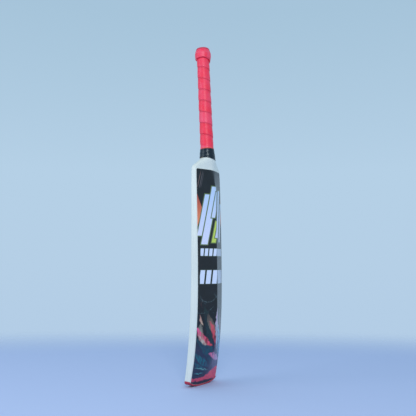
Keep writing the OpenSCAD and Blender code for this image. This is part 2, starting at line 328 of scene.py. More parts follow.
class Finish:
    """A material whose look is worked out from the point's place on the bat, in millimetres."""

    def __init__(self, name, roughness, **constants):
        self.material = bpy.data.materials.new(name)
        self.material.use_nodes = True
        self.tree = self.material.node_tree
        self.shader = self.tree.nodes["Principled BSDF"]
        self.shader.inputs["Roughness"].default_value = roughness
        for key, value in constants.items():
            self.shader.inputs[key.replace("_", " ")].default_value = value
        where = self.tree.nodes.new("ShaderNodeTexCoord")
        self.spot = self.tree.nodes.new("ShaderNodeVectorMath")
        self.spot.operation = "SCALE"
        self.spot.inputs["Scale"].default_value = 1 / MM
        self.link(where.outputs["Object"], self.spot.inputs[0])
        split = self.tree.nodes.new("ShaderNodeSeparateXYZ")
        self.link(self.spot.outputs[0], split.inputs[0])
        self.x, self.y, self.z = (Field(self.tree, s) for s in split.outputs)

    def link(self, output, place):
        self.tree.links.new(output, place)

    def along_handle(self):
        """The point in the handle's own frame: across, out of the back, and up from the throat."""
        y, z = self.y - throat.y / MM, self.z - throat.z / MM
        c, s = math.cos(LEAN), math.sin(LEAN)
        return self.x, y * c + z * s, z * c - y * s

    def vector(self, x, y, z):
        node = self.tree.nodes.new("ShaderNodeCombineXYZ")
        for place, value in zip(node.inputs, (x, y, z)):
            feed(self.tree, place, value)
        return node.outputs[0]

    def noise(self, size, stretch=(1, 1, 1), detail=3.0, rough=0.55, at=None):
        """Noise from 0 to 1 whose blots are about size millimetres, longer along the stretched axes."""
        node = self.tree.nodes.new("ShaderNodeTexNoise")
        node.inputs["Scale"].default_value = 1.0
        node.inputs["Detail"].default_value = detail
        node.inputs["Roughness"].default_value = rough
        at = self.squeezed(at or self.spot.outputs[0], size, stretch)
        self.link(at, node.inputs["Vector"])
        return Field(self.tree, node.outputs["Fac"])

    def squeezed(self, at, size, stretch):
        """The place at, scaled so that size millimetres become 1, and less along stretched axes."""
        node = self.tree.nodes.new("ShaderNodeVectorMath")
        node.operation = "MULTIPLY"
        node.inputs[1].default_value = [1 / (size * s) for s in stretch]
        self.link(at, node.inputs[0])
        return node.outputs[0]

    def cells(self, size):
        """Distance to the nearest point of a scatter that is about size millimetres apart."""
        node = self.tree.nodes.new("ShaderNodeTexVoronoi")
        node.inputs["Scale"].default_value = 1.0
        at = self.squeezed(self.spot.outputs[0], size, (1, 1, 1))
        self.link(at, node.inputs["Vector"])
        return Field(self.tree, node.outputs["Distance"])

    def mix(self, share, under, over):
        """The colour over laid on the colour under by a share from 0 to 1."""
        node = self.tree.nodes.new("ShaderNodeMix")
        node.data_type = "RGBA"
        self.link(share.socket, node.inputs["Factor"])
        for place, colour in ((node.inputs[6], under), (node.inputs[7], over)):
            if isinstance(colour, tuple):
                place.default_value = (*colour, 1)
            else:
                self.link(colour, place)
        return node.outputs[2]

    def colour(self, socket):
        self.link(socket, self.shader.inputs["Base Color"])

    def roughness(self, field):
        self.link(field.socket, self.shader.inputs["Roughness"])

    def bump(self, height, depth):
        """Raises the surface by height, which runs from 0 to 1 over depth millimetres."""
        node = self.tree.nodes.new("ShaderNodeBump")
        node.inputs["Distance"].default_value = depth * MM
        self.link(height.socket, node.inputs["Height"])
        self.link(node.outputs[0], self.shader.inputs["Normal"])


def rgb(red, green, blue):
    """A colour given as it looks on screen, from 0 to 255, in the shader's linear numbers."""
    def linear(c):
        c /= 255
        return c / 12.92 if c <= 0.04045 else ((c + 0.055) / 1.055) ** 2.4
    return linear(red), linear(green), linear(blue)


# ------------------------------------------------------------------------- finishes
GRIP_BASE, GRIP_LIGHT, GRIP_DARK = rgb(254, 44, 70), rgb(255, 82, 112), rgb(196, 36, 60)


def lacquer_finish():
    """White lacquer over willow: faint upright grain, a little orange peel, scuffs low down."""
    f = Finish("lacquered_willow", 0.34, IOR=1.45)
    grain = f.noise(1.6, (1, 1, 60), 4)
    cloud = f.noise(60, (1, 1, 3), 2)
    tone = f.mix((grain * 0.5 + cloud * 0.5).ramp(0.35, 0.7), rgb(220, 224, 217), rgb(236, 236, 226))
    scuffs = f.noise(2.5, (1, 1, 2.5), 6, 0.7).ramp(0.66, 0.74) * f.z.ramp(120, 4)
    tone = f.mix(scuffs * 0.5, tone, rgb(176, 170, 158))
    marks = f.noise(16, (1, 1, 1), 4, 0.6).ramp(0.6, 0.72) * f.y.ramp(-14, -24) * f.z.ramp(360, 240)
    f.colour(f.mix(marks * 0.16, tone, rgb(168, 128, 118)))
    f.roughness(grain.ramp(0.3, 0.7, 0.3, 0.38) + scuffs * 0.3)
    f.bump(grain * 0.35 + f.noise(3.5, detail=1.0) * 0.65 - scuffs * 0.6, 0.06)
    return f.material


def guard_finish():
    """Red moulded rubber, ground a little grey where it meets the ground."""
    f = Finish("guard_rubber", 0.55, IOR=1.45)
    grit = f.noise(0.8, detail=5.0)
    tone = f.mix(f.noise(9, detail=4.0).ramp(0.3, 0.7), rgb(176, 36, 62), rgb(200, 50, 76))
    worn = f.z.ramp(1.8, 0.0) * f.noise(3, detail=4.0).ramp(0.4, 0.7)
    f.colour(f.mix(worn * 0.6, tone, rgb(130, 88, 92)))
    f.roughness(grit.ramp(0.3, 0.7, 0.45, 0.65))
    f.bump(grit, 0.08)
    return f.material


def cane_finish(name, shift):
    """Planed cane: straight straw-coloured fibres with dark pores."""
    f = Finish(name, 0.6)
    x, y, l = f.along_handle()
    at = f.vector(x, y + shift, l)
    fibre = f.noise(0.9, (1, 1, 70), 5, 0.6, at)
    pores = f.noise(0.5, (1, 1, 22), 2, 0.5, at).ramp(0.62, 0.72)
    tone = f.mix(fibre.ramp(0.25, 0.75), rgb(196, 160, 104), rgb(226, 196, 142))
    tone = f.mix(f.noise(18, (1, 1, 6), 2, 0.5, at) * 0.4, tone, rgb(206, 172, 118))
    f.colour(f.mix(pores * 0.6, tone, rgb(120, 84, 48)))
    f.roughness(fibre.ramp(0.3, 0.7, 0.5, 0.68))
    f.bump(fibre - pores * 0.8, 0.12)
    return f.material


def insert_finish():
    """Dark sheet rubber with a chalky bloom."""
    f = Finish("insert_rubber", 0.7)
    fine = f.noise(0.6, detail=4.0)
    bloom = f.noise(12, (1, 1, 3), 4).ramp(0.45, 0.75)
    f.colour(f.mix(bloom * 0.35 + fine * 0.2, rgb(42, 40, 38), rgb(110, 106, 100)))
    f.roughness(fine.ramp(0.3, 0.7, 0.6, 0.8))
    f.bump(fine, 0.05)
    return f.material


def twine_finish():
    """Waxed thread wound close, one strand every 0.9 mm, with painted shade in the grooves between strands.
    """
    f = Finish("twine", 0.55, Sheen_Weight=0.15)
    x, y, l = f.along_handle()
    turn = y.math("ARCTAN2", x) / TURN
    strand = ((l / 0.9 + turn) * TURN).sin() * 0.5 + 0.5
    hair = f.noise(0.35)
    # painted shade: the colour darkens in the grooves between the strands
    tone = f.mix(strand, rgb(138, 112, 74), rgb(214, 188, 140))
    f.colour(f.mix(f.noise(7, detail=3.0).ramp(0.4, 0.7) * 0.35, tone, rgb(170, 140, 96)))
    f.roughness(hair.ramp(0.3, 0.7, 0.45, 0.7))
    f.bump(strand * 0.85 + hair * 0.15, 0.35)
    return f.material


def foam_finish():
    """Dense tan foam rubber with open pores, their hollows darkened with painted shade."""
    f = Finish("knob_foam", 0.85)
    pores = f.cells(1.1)
    # painted shade: the colour darkens into the pores' hollows
    f.colour(f.mix(pores.ramp(0.1, 0.6), rgb(92, 80, 66), rgb(168, 152, 128)))
    f.roughness(pores.ramp(0.1, 0.6, 0.95, 0.8))
    f.bump(pores.ramp(0.0, 0.5), 0.4)
    return f.material


def tape_finish():
    """Glossy black stretch tape, drawn tight in slanting wrinkles, with a little dust and a painted
    highlight along the wrinkles' ridges.
    """
    f = Finish("black_tape", 0.26, IOR=1.5, Specular_Tint=(0.78, 0.94, 1.0, 1.0))
    x, y, l = f.along_handle()
    turn = y.math("ARCTAN2", x) / TURN
    slant = f.vector(turn * 60 + l * 0.9, l * 0.35, 0.0)
    wrinkle = f.noise(4.2, (1, 3, 1), 1, 0.4, slant)
    dust = f.noise(1.2, detail=6.0, rough=0.7).ramp(0.6, 0.85)
    # the dust is real; the wrinkle term paints the ridges a little paler, a painted highlight along the
    # wrinkles
    f.colour(f.mix(dust * 0.2 + wrinkle * 0.1, rgb(7, 16, 27), rgb(44, 62, 82)))
    f.roughness(dust * 0.15 + wrinkle.ramp(0.3, 0.7, 0.22, 0.3))
    f.bump(wrinkle, 0.3)
    return f.material


def padded_skin(f, tone, dark):
    """The tacky skin that the whole grip shares: fine pores, soft creases and a little grime."""
    grime = f.noise(2.2, detail=6.0, rough=0.7).ramp(0.58, 0.8)
    f.colour(f.mix(grime * 0.22, tone, dark))
    pores = f.cells(0.7).ramp(0.0, 0.7)
    crease = f.noise(6, (1, 1, 2.4), 3, 0.5)
    f.roughness(grime * 0.2 + crease.ramp(0.3, 0.7, 0.34, 0.44))
    f.bump(pores * 0.3 + crease * 0.7, 0.14)
    return f.material


def grip_finish():
    """Red padded tape: each turn has its own tone, with painted shade where the next one laps it."""
    f = Finish("grip_red", 0.4, IOR=1.45)
    x, y, l = f.along_handle()
    off = y.math("ARCTAN2", x) - LAP_PHI
    turns = (l - LAP_L) / PITCH + off / TURN - off.sin() * EASE
    within, which = turns.fract(), turns.floor()
    each = ((which * 12.9898).sin() * 43758.5).fract()
    tone = f.mix((each * 0.35 + f.noise(14, detail=3.0) * 0.65).ramp(0.15, 0.85), GRIP_BASE, GRIP_LIGHT)
    # painted shade: each turn is darkened on both sides of the line where the next turn laps it, fading out
    # near the grip's foot
    painted_lap_shade = within.ramp(0.8, 1.0) + within.ramp(0.1, 0.0)
    painted_lap_shade = painted_lap_shade.least(1.0) * l.ramp(BAND_L + 6, BAND_L + 16)
    return padded_skin(f, f.mix(painted_lap_shade * 0.4, tone, GRIP_DARK), GRIP_DARK)


def knob_finish():
    """The same red tape drawn smooth over the knob: paler patches round its shoulder, painted shade at its
    foot.
    """
    f = Finish("grip_red_knob", 0.4, IOR=1.45)
    l = f.along_handle()[2]
    tone = f.mix(f.noise(9, (1, 1, 1.6), 3).ramp(0.2, 0.8), GRIP_BASE, GRIP_LIGHT)
    # a little paler in patches round the shoulder
    paler_shoulder_patches = l.ramp(KNOB_WALL_L - 3, KNOB_WALL_L + 1) * l.ramp(KNOB_WALL_L + 6, KNOB_WALL_L + 2)
    tone = f.mix(paler_shoulder_patches * f.noise(3, detail=4.0) * 0.4, tone, rgb(246, 120, 140))
    # painted shade: the tape is darkened along the knob's lower edge
    foot = l.ramp(KNOB_L + 2.5, KNOB_L - 1)
    return padded_skin(f, f.mix(foot * 0.35, tone, GRIP_DARK), GRIP_DARK)


def band_finish():
    """The rolled edge at the grip's foot, stretched paler and a little orange."""
    f = Finish("grip_red_band", 0.42, IOR=1.4)
    tone = f.mix(f.noise(4, detail=3.0).ramp(0.2, 0.8), rgb(226, 70, 66), rgb(240, 104, 92))
    return padded_skin(f, tone, rgb(190, 50, 60))


def cap_finish():
    """Moulded red rubber with a fine matt texture."""
    f = Finish("cap_rubber", 0.5)
    grit = f.noise(0.5, detail=4.0)
    wear = f.z.ramp(858.5, 860.2) * f.noise(2.4, detail=5.0).ramp(0.48, 0.7)
    tone = f.mix(f.noise(8, detail=3.0), rgb(186, 40, 66), rgb(214, 62, 88))
    f.colour(f.mix(wear * 0.4, tone, rgb(232, 140, 150)))
    f.roughness(grit.ramp(0.3, 0.7, 0.42, 0.6))
    f.bump(grit, 0.08)
    return f.material


# ------------------------------------------------------------------------- the label's print
OUTLINE = 2.2                  # width of the olive line round each bar
EMBLEM_LEAN = -0.22            # how far a bar leans across for each millimetre that it rises

# Bars: low end, high end, middle, half width and fill
EMBLEM_BARS = ((366, 470, 34, 6.0, "pale"), (345, 491, 17, 8.5, "pale"), (350, 404, 2.5, 5.5, "lime"),
               (412, 478, 1.0, 5.0, "pale"), (362, 484, -17, 8.0, "pale"), (352, 452, -35, 5.0, "pale"))
# Rows of blocks: foot, top, spacing and half length
BLOCK_ROWS = ((317, 335, 11.5, 43), (249, 282, 16.5, 45))
# Thin arcs: middle across and up, radius, and the heights that they show between
ARCS = ((24, 226, 22, 168, 212), (40, 214, 36, 168, 186), (-22, 232, 30, 170, 216))
# Leaves: start and end (across, up), half width, bend, and the tones at the start and the end
SWEEPS = (
    ((50, 118), (-4, 50), 12, -7, rgb(20, 84, 96), rgb(34, 58, 84)),
    ((52, 84), (-2, 44), 7, 3, rgb(26, 112, 124), rgb(36, 72, 100)),
    ((52, 62), (0, 34), 5, 2, rgb(24, 96, 112), rgb(38, 70, 96)),
    ((34, 196), (12, 92), 9, -4, rgb(22, 44, 44), rgb(34, 58, 66)),
    ((24, 180), (-4, 120), 7, 3, rgb(70, 62, 54), rgb(176, 150, 132)),
    ((42, 156), (28, 108), 6, 5, rgb(120, 116, 104), rgb(206, 198, 180)),
    ((50, 146), (8, 98), 8, 6, rgb(240, 92, 140), rgb(228, 70, 72)),
    ((46, 128), (20, 100), 4, 3, rgb(206, 190, 176), rgb(164, 148, 136)),
    ((18, 160), (-2, 92), 5, -3, rgb(222, 84, 96), rgb(170, 52, 72)),
    ((44, 176), (34, 146), 3, 2, rgb(206, 150, 138), rgb(216, 188, 160)),
    ((-4, 190), (-20, 84), 9, 5, rgb(206, 170, 196), rgb(168, 206, 226)),
    ((-14, 150), (-46, 60), 10, -6, rgb(150, 208, 226), rgb(84, 150, 184)),
    ((16, 81), (-50, 57), 7, 0, rgb(236, 110, 150), rgb(226, 180, 220)),
    ((-30, 200), (-48, 110), 7, 4, rgb(60, 84, 96), rgb(200, 150, 170)),
)
# Thin streaks by the near edge: start, end and tone
STREAKS = (((50, 50), (-6, 36), rgb(112, 176, 170)), ((50, 34), (8, 30), rgb(70, 150, 160)),
           ((48, 41), (2, 33), rgb(20, 40, 62)), ((50, 30), (12, 27), rgb(18, 34, 54)))


def inside(distance, edge=0.5):
    """1 where the distance to a shape's outline is positive, 0 outside, soft over the edge."""
    return distance.ramp(-edge, edge)


def slanted_bar(x, z, low, high, middle, half):
    """Distance into a bar between two heights, which leans across the blade as it rises."""
    from_middle = z - (low + high) / 2
    across = (x - middle - from_middle * EMBLEM_LEAN).abs() * -1 + half
    return across.least(from_middle.abs() * -1 + (high - low) / 2)


def leaf(x, z, start, end, half, bend):
    """Distance into a leaf that runs from start to end with its middle bent sideways."""
    (x0, z0), (x1, z1) = start, end
    length = math.hypot(x1 - x0, z1 - z0)
    ax, az = (x1 - x0) / length, (z1 - z0) / length
    along = ((x - x0) * ax + (z - z0) * az) / length
    hump = along * (along * -1 + 1) * 4
    off = (z - z0) * ax - (x - x0) * az - hump * bend
    return hump.most(0.0).power(0.8) * (half + 0.9) - off.abs() - 0.9, along


def label_edges(f, ink):
    """Fine slanted streaks by both edges at the top, and a flash of orange lower down."""
    side = f.x.abs() * -1 + 49
    for reach, tone in ((0.0, rgb(140, 108, 100)), (5.5, rgb(112, 104, 106)), (9.0, rgb(84, 78, 82))):
        line = inside((side - reach - (f.z - 484) * 0.27).abs() * -1 + 0.7, 0.6)
        ink = f.mix(line * f.z.ramp(482, 492) * f.z.ramp(533, 515) * 0.8, ink, tone)
    flash = (side * -1 + 13.5 - (f.z - 430).abs() * 0.36).least(side + 2)
    return f.mix(inside(flash, 0.8), ink, f.mix(f.z.ramp(400, 462), rgb(242, 138, 96), rgb(190, 84, 64)))


def label_bars(f, ink):
    """Slanted bars across the ridge, pale with an olive outline, and one of yellow-green."""
    pale = f.mix(f.z.ramp(350, 490), rgb(226, 226, 248), rgb(196, 216, 246))
    for low, high, middle, half, fill in EMBLEM_BARS:
        shape = slanted_bar(f.x, f.z, low, high, middle, half)
        ink = f.mix(inside(shape + OUTLINE), ink, rgb(104, 122, 74))
        ink = f.mix(inside(shape - 0.2), ink, pale if fill == "pale" else rgb(204, 220, 96))
    return ink


def label_blocks(f, ink):
    """Two rows of plain slanted blocks."""
    for low, high, period, half_row in BLOCK_ROWS:
        cell = ((f.x + (f.z - low) * 0.12) / period).fract()
        block = ((cell - 0.5).abs() * -1 + 0.36) * period
        up = (f.z - (low + high) / 2).abs() * -1 + (high - low) / 2
        row = block.least(up).least(f.x.abs() * -1 + half_row)
        ink = f.mix(inside(row + 1.1, 0.4), ink, rgb(74, 88, 64))
        ink = f.mix(inside(row, 0.4), ink, rgb(224, 230, 250))
    return ink


def label_sweeps(f, ink, x, z):
    """Coloured leaves over a navy ground low down, a mauve haze on one side, and thin streaks."""
    brushed = f.noise(5, (1, 1, 3.5), 4, 0.6)
    for arc_x, arc_z, radius, low, high in ARCS:
        off = ((x - arc_x) * (x - arc_x) + (z - arc_z) * (z - arc_z)).root() - radius
        line = inside(off.abs() * -1 + 0.9, 1.4) * z.ramp(low, low + 14) * z.ramp(high + 14, high)
        ink = f.mix(line * brushed.ramp(0.3, 0.7) * 0.7, ink, rgb(92, 112, 116))
    ink = f.mix(z.ramp(128, 84), ink, rgb(40, 50, 76))
    haze = z.ramp(88, 60) * x.ramp(4, -26) * f.noise(7, (1, 1, 2), 4).ramp(0.25, 0.75)
    ink = f.mix(haze * 0.85, ink, rgb(120, 104, 142))
    dry = brushed.ramp(0.62, 0.42, 0.35, 1.0)
    for start, end, half, bend, near, away in SWEEPS:
        shape, along = leaf(x, z, start, end, half, bend)
        tone = f.mix((along + brushed * 2.2 - 1.1).least(1.0).most(0.0), near, away)
        ink = f.mix(inside(shape + brushed * 5 - 2.5, 1.3) * dry, ink, tone)
    for start, end, tone in STREAKS:
        shape, along = leaf(x, z, start, end, 1.2, 0)
        ink = f.mix(inside(shape, 0.8) * 0.85, ink, tone)
    return ink


def label_foot(f, ink, x, z):
    """A band of coral that widens to the far side over a dark foot."""
    lower = z - 11.7 - x * 0.03
    upper = z * -1 + 20 + x.ramp(14, -44) * 20
    blots = f.noise(7, (2, 1, 1), 4)
    coral = f.mix(blots.ramp(0.3, 0.7), rgb(206, 58, 96), rgb(236, 84, 104))
    ink = f.mix(inside(lower.least(upper + blots * 8 - 4), 1.6) * blots.ramp(0.24, 0.4), ink, coral)
    return f.mix(inside(lower * -1, 1.2), ink, rgb(34, 38, 56))


def label_finish():
    """Glossy printed vinyl: near black, slanted bars and blocks above, coloured sweeps below."""
    f = Finish("label_vinyl", 0.18, IOR=1.5)
    x = f.x + (f.noise(11, detail=3.0) - 0.5) * 9
    z = f.z + (f.noise(9, (1, 1, 2), 3) - 0.5) * 10
    ink = f.mix(f.noise(40, detail=4.0).ramp(0.3, 0.7), rgb(15, 17, 20), rgb(23, 27, 32))
    ink = label_blocks(f, label_bars(f, label_edges(f, ink)))
    f.colour(label_foot(f, label_sweeps(f, ink, x, z), x, z))
    scratch = f.noise(0.5, (1, 1, 40), 3).ramp(0.62, 0.8)
    f.roughness(f.noise(20, detail=3.0).ramp(0.3, 0.7, 0.16, 0.24) + scratch * 0.12)
    f.bump(f.noise(14, (1, 1, 2), 2), 0.12)
    return f.material


# ------------------------------------------------------------------------- blade, label and guard
# Where the CAD's own section points lie, round the half section from the face's middle to the ridge
FACE_KNOTS = (0, 0.35, 0.7)
BACK_KNOTS = (0.84, 0.68, 0.5, 0.33, 0.18, 0.07, 0)
HALF_KNOTS = 17

# How far each point lies along its own stretch of the half section
FACE_U = np.linspace(0, 1, 15)[:-1]
CORNER = np.linspace(0, math.pi / 2, 8)[:-1]
EDGE_T = np.linspace(0, 1, 7)[:-1]
BACK_X = 1 - np.linspace(0, 1, 34) ** 0.8
ENDS = np.cumsum([0, len(FACE_U), len(CORNER), len(EDGE_T), len(EDGE_T), len(BACK_X)])
FACE, FRONT, SIDE, TURN_IN, BACK = (slice(a, b) for a, b in zip(ENDS, ENDS[1:]))


def half_section(z, swell):
    """Half of the flat section: face, front corner, edge, back corner, back; z may vary along it."""
    z = np.broadcast_to(np.asarray(z, float), ENDS[-1:])
    w, k, s = width_at(z) + swell, ridge_soft(z), spine_h(z)
    f, b = face_y(z) - swell, face_y(z) + edge_t(z) + swell
    x, y = np.empty(len(z)), np.empty(len(z))
    x[FACE] = FACE_U * (w[FACE] - FRONT_R)
    y[FACE] = f[FACE] - FACE_CROWN * (1 - FACE_U ** 2)
    x[FRONT] = w[FRONT] - FRONT_R * (1 - np.sin(CORNER))
    y[FRONT] = f[FRONT] + FRONT_R * (1 - np.cos(CORNER))
    x[SIDE] = w[SIDE]
    y[SIDE] = f[SIDE] + FRONT_R + (b[SIDE] - BACK_R - f[SIDE] - FRONT_R) * EDGE_T
    top = b[TURN_IN] + s[TURN_IN] * tent(1 - BACK_R / w[TURN_IN], k[TURN_IN])
    near, middle, away = (1 - EDGE_T) ** 2, 2 * EDGE_T * (1 - EDGE_T), EDGE_T ** 2
    x[TURN_IN] = w[TURN_IN] - away * BACK_R
    y[TURN_IN] = near * (b[TURN_IN] - BACK_R) + middle * b[TURN_IN] + away * top
    x[BACK] = BACK_X * (w[BACK] - BACK_R)
    y[BACK] = b[BACK] + s[BACK] * tent(x[BACK] / w[BACK], k[BACK])
    return x, y


def steady_slopes(x, y):
    """Slopes at the knots of a curve that keeps rising where its knots rise."""
    h, d = np.diff(x), np.diff(y) / np.diff(x)
    inner = (h[1:] + h[:-1]) * 3 / ((2 * h[1:] + h[:-1]) / d[:-1] + (h[1:] + 2 * h[:-1]) / d[1:])
    return np.concatenate([[d[0]], inner, [d[-1]]])


def steady_curve(x, y, at):
    """Smooth rising curve through the knots (x, y), read at the places in at."""
    m = steady_slopes(x, y)
    i = np.clip(np.searchsorted(x, at, "right") - 1, 0, len(x) - 2)
    h = x[i + 1] - x[i]
    t = (at - x[i]) / h
    return (y[i] * (1 + 2 * t) * (1 - t) ** 2 + y[i + 1] * t * t * (3 - 2 * t)
            + h * (m[i] * t * (1 - t) ** 2 - m[i + 1] * t * t * (1 - t)))


def arc_length(points):
    """Distance along a line of points, from its first point to each."""
    steps = np.linalg.norm(np.diff(points, axis=0), axis=1)
    return np.concatenate([[0], np.cumsum(steps)])


def turn_angles():
    """The angle round the handle that each point of the half section turns to at the throat."""
    w = float(width_at(DOME_Z))
    dense = np.stack(half_section(DOME_Z, 0), 1)
    s = arc_length(dense)
    at_corners = [FRONT.start, (FRONT.start + FRONT.stop) // 2, FRONT.stop, SIDE.stop,
                  (TURN_IN.start + TURN_IN.stop) // 2, TURN_IN.stop]
    face = [np.interp(u * w, dense[FACE, 0], s[FACE]) for u in FACE_KNOTS]
    back_u = [1 - LABEL_MARGIN / w, *BACK_KNOTS]
    back = [np.interp(-u * w, -dense[BACK, 0], s[BACK]) for u in back_u]
    knots = np.array([*face, *s[at_corners], *back])
    return steady_curve(knots, -90 + 180 * np.arange(HALF_KNOTS) / (HALF_KNOTS - 1), s)


def ring(z, swell, angles):
    """The whole outline at height z, turned round towards the circle of the handle near the throat."""
    flat_x, flat_y = half_section(z, swell)
    z = np.broadcast_to(z, flat_x.shape)
    c = smooth((z - DOME_Z) / (THROAT_Z - DOME_Z))
    a, w, y0 = np.radians(angles), width_at(z) + swell, handle_y(z)
    x = flat_x * (1 - c) + w * np.cos(a) * c
    y = flat_y * (1 - c) + (y0 + (COLLAR_R + swell) * math.cos(LEAN) * np.sin(a)) * c
    x[0] = x[-1] = 0
    half = np.stack([x, y, z + c * math.tan(LEAN) * (y - y0)], 1)
    return np.concatenate([half, (half * (-1, 1, 1))[-2:0:-1]])


TOE_ZONE = 40.0                # height over which the rows straighten out above the toe's curve


def above_toe(x, t, lift):
    """Height at x of a row a share t of the way up from the lifted toe line to the straight rows."""
    low = toe_line(x, lift)
    return low + (TOE_ZONE - low) * t


def make_blade(material):
    """The lacquered willow, with a lower end that follows the toe's curve inside the guard."""
    angles = turn_angles()
    across = half_section(TOE_ZONE, LACQUER)[0]
    rings = [ring(above_toe(across, t, GUARD_T - 0.3), LACQUER, angles) for t in np.linspace(0, 1, 16)]
    heights = [*np.linspace(TOE_ZONE, LABEL_TOP, 112)[1:], *np.linspace(LABEL_TOP, THROAT_Z, 36)[1:]]
    rings += [ring(z, LACQUER, angles) for z in heights]
    piece = make_piece("blade_lacquered", *loft(rings), material, "lacquered_willow")
    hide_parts("blade")


def guard_section(x, front, back, high):
    """One slice of the guard at x across: a flat strip with rounded lower edges."""
    low = float(toe_line(x))
    r = min(GUARD_R, (back - front) / 2)
    turn = np.linspace(0, math.pi / 2, 6)
    corner = [(r * (1 - math.cos(a)), low + r * (1 - math.sin(a))) for a in turn]
    sole = [(front + d, h) for d, h in corner] + [(back - d, h) for d, h in corner[::-1]]
    return np.array([(x, y, z) for y, z in (*sole, (back, high), (front, high))])


def make_guard(material):
    """The moulded strip under the toe: it follows the toe's curve from side to side."""
    swell = LACQUER + 0.15
    across = (HALF_W + swell) * np.sin(np.linspace(-math.pi / 2, math.pi / 2, 91))
    slices = []
    for x in across:
        high = float(toe_line(x, GUARD_T))
        section_x, section_y = half_section(high, swell)
        first, last = SIDE.start + 1, TURN_IN.start
        front = np.interp(abs(x), section_x[:first], section_y[:first])
        back = np.interp(-abs(x), -section_x[last:], section_y[last:])
        slices.append(guard_section(x, float(front), float(back), high))
    piece = make_piece("toe_guard_rubber", *loft(slices), material, "guard_rubber")
    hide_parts("toe_guard")


def make_label(material):
    """The printed sheet: it lies on the lacquered back, from the guard up, with round top corners."""
    across = np.linspace(-1, 1, 111)
    across = np.sign(across) * np.abs(across) ** 1.15
    heights = np.linspace(TOE_ZONE, LABEL_TOP, 165)
    from_top = np.clip(1 - (LABEL_TOP - heights) / 2.0, 0, 1)
    margin = LABEL_MARGIN + 2.0 * (1 - np.sqrt(1 - from_top ** 2))
    toe_x = across * (HALF_W - LABEL_MARGIN)
    toe_rows = [(toe_x, above_toe(toe_x, t, GUARD_T + LABEL_GAP)) for t in np.linspace(0, 1, 14)[:-1]]
    rows = toe_rows + [(across * (width_at(z) - m), z + 0 * across) for z, m in zip(heights, margin)]
    x, z = (np.array(r) for r in zip(*rows))
    under = np.stack([x, back_y(x, z) + LACQUER, z], 2)
    over = under + (0, LABEL_T - 0.1, 0)
    points = np.concatenate([under.reshape(-1, 3), over.reshape(-1, 3)])
    grid = np.arange(x.size).reshape(x.shape)
    top = grid + x.size
    faces = [f for a, b in zip(grid, grid[1:]) for f in band_faces(a, b, closed=False)]
    faces += [tuple(reversed(f)) for a, b in zip(top, top[1:]) for f in band_faces(a, b, closed=False)]
    rim = [*grid[0, :], *grid[1:, -1], *grid[-1, -2::-1], *grid[-2:0:-1, 0]]
    faces += band_faces([g + x.size for g in rim], rim)
    faces = [tuple(int(i) for i in f) for f in faces]
    piece = make_piece("back_label_print", points, faces, material, "label_vinyl")
    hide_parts("back_label")


# ------------------------------------------------------------------------- handle pieces
PITCH = 30.0                   # height that the grip tape climbs in a turn
LAP_L = 57.0                   # height of a lap on the side that faces the camera
LAP_PHI = math.radians(36.5)   # that side's direction round the handle
EASE = 0.045                   # how much steadier the winding is on that side
AROUND = 96
PHI = np.arange(AROUND) * TURN / AROUND

# One turn of the tape from its lower edge up: height above the edge, height over the grip's radius
LAP_PROFILE = ((0.0, -0.62), (0.15, -0.4), (0.55, -0.05), (1.3, 0.26), (2.8, 0.48), (5.5, 0.58),
               (10.0, 0.54), (16.0, 0.32), (22.0, 0.0), (26.5, -0.3), (29.2, -0.52), (30.0, -0.62))
TURNS = range(-3, 10)
GRIP_FOOT_CUT, GRIP_TOP_CUT = BAND_L - 0.6, KNOB_L + 1.6


def grip_skin():
    """The tape's helix, each turn lapping the top of the one below, run on past the grip's ends."""
    profile = soft_line(LAP_PROFILE, 3)[:-1]
    rows_per_turn = len(profile)
    rows = []
    for k in TURNS:
        for up, out in profile:
            turn = k + (LAP_PHI - PHI) / TURN + EASE * np.sin(PHI - LAP_PHI)
            l = LAP_L + turn * PITCH + up
            fullness = 1 + 0.15 * np.sin(1.7 * k + 2.1) + 0.06 * np.sin(3 * PHI + k)
            fullness *= 0.15 + 0.85 * smooth((l - BAND_L - 3) / 12)
            shift = 0.8 * np.sin(2.3 * k + 0.7 - PHI)
            rows.append(polar_ring(grip_r(l) + out * fullness, l + shift, PHI))
    points = np.concatenate(rows)
    number = np.arange(len(rows) * AROUND).reshape(len(rows), AROUND)
    faces = []
    for r in range(len(rows) - 1):
        faces += band_faces(number[r], number[r + 1], closed=False)
        s = r - rows_per_turn
        if s >= 0:
            faces.append((number[r, -1], number[s, 0], number[s + 1, 0], number[r + 1, -1]))
    return points, [tuple(int(i) for i in f) for f in faces]


def close_grip(points, faces):
    """The helix cut off level at both ends, and closed through the bore round the twine."""
    bm = bmesh.new()
    verts = [bm.verts.new(p) for p in points]
    for face in faces:
        bm.faces.new([verts[i] for i in face])
    for l, side in ((GRIP_FOOT_CUT, -1), (GRIP_TOP_CUT, 1)):
        bmesh.ops.bisect_plane(bm, geom=[*bm.verts, *bm.edges, *bm.faces], plane_co=(0, 0, l),
                               plane_no=(0, 0, side), clear_outer=True)
    loose = [v for v in bm.verts if not v.link_faces]
    bmesh.ops.delete(bm, geom=loose, context="VERTS")
    loops = []
    for l in (GRIP_FOOT_CUT, GRIP_TOP_CUT):
        rim = [e for e in bm.edges if e.is_boundary and all(abs(v.co.z - l) < 1e-4 for v in e.verts)]
        made = bmesh.ops.extrude_edge_only(bm, edges=rim)["geom"]
        for v in (g for g in made if isinstance(g, bmesh.types.BMVert)):
            v.co.xy = v.co.xy.normalized() * float(bound_r(l))
        loops += [g for g in made if isinstance(g, bmesh.types.BMEdge)]
    bmesh.ops.bridge_loops(bm, edges=loops)
    bmesh.ops.recalc_face_normals(bm, faces=bm.faces)
    mesh = bpy.data.meshes.new("grip_wrap_tape")
    bm.to_mesh(mesh)
    bm.free()
    points = [tuple(v.co) for v in mesh.vertices]
    faces = [tuple(p.vertices) for p in mesh.polygons]
    bpy.data.meshes.remove(mesh)
    return points, faces


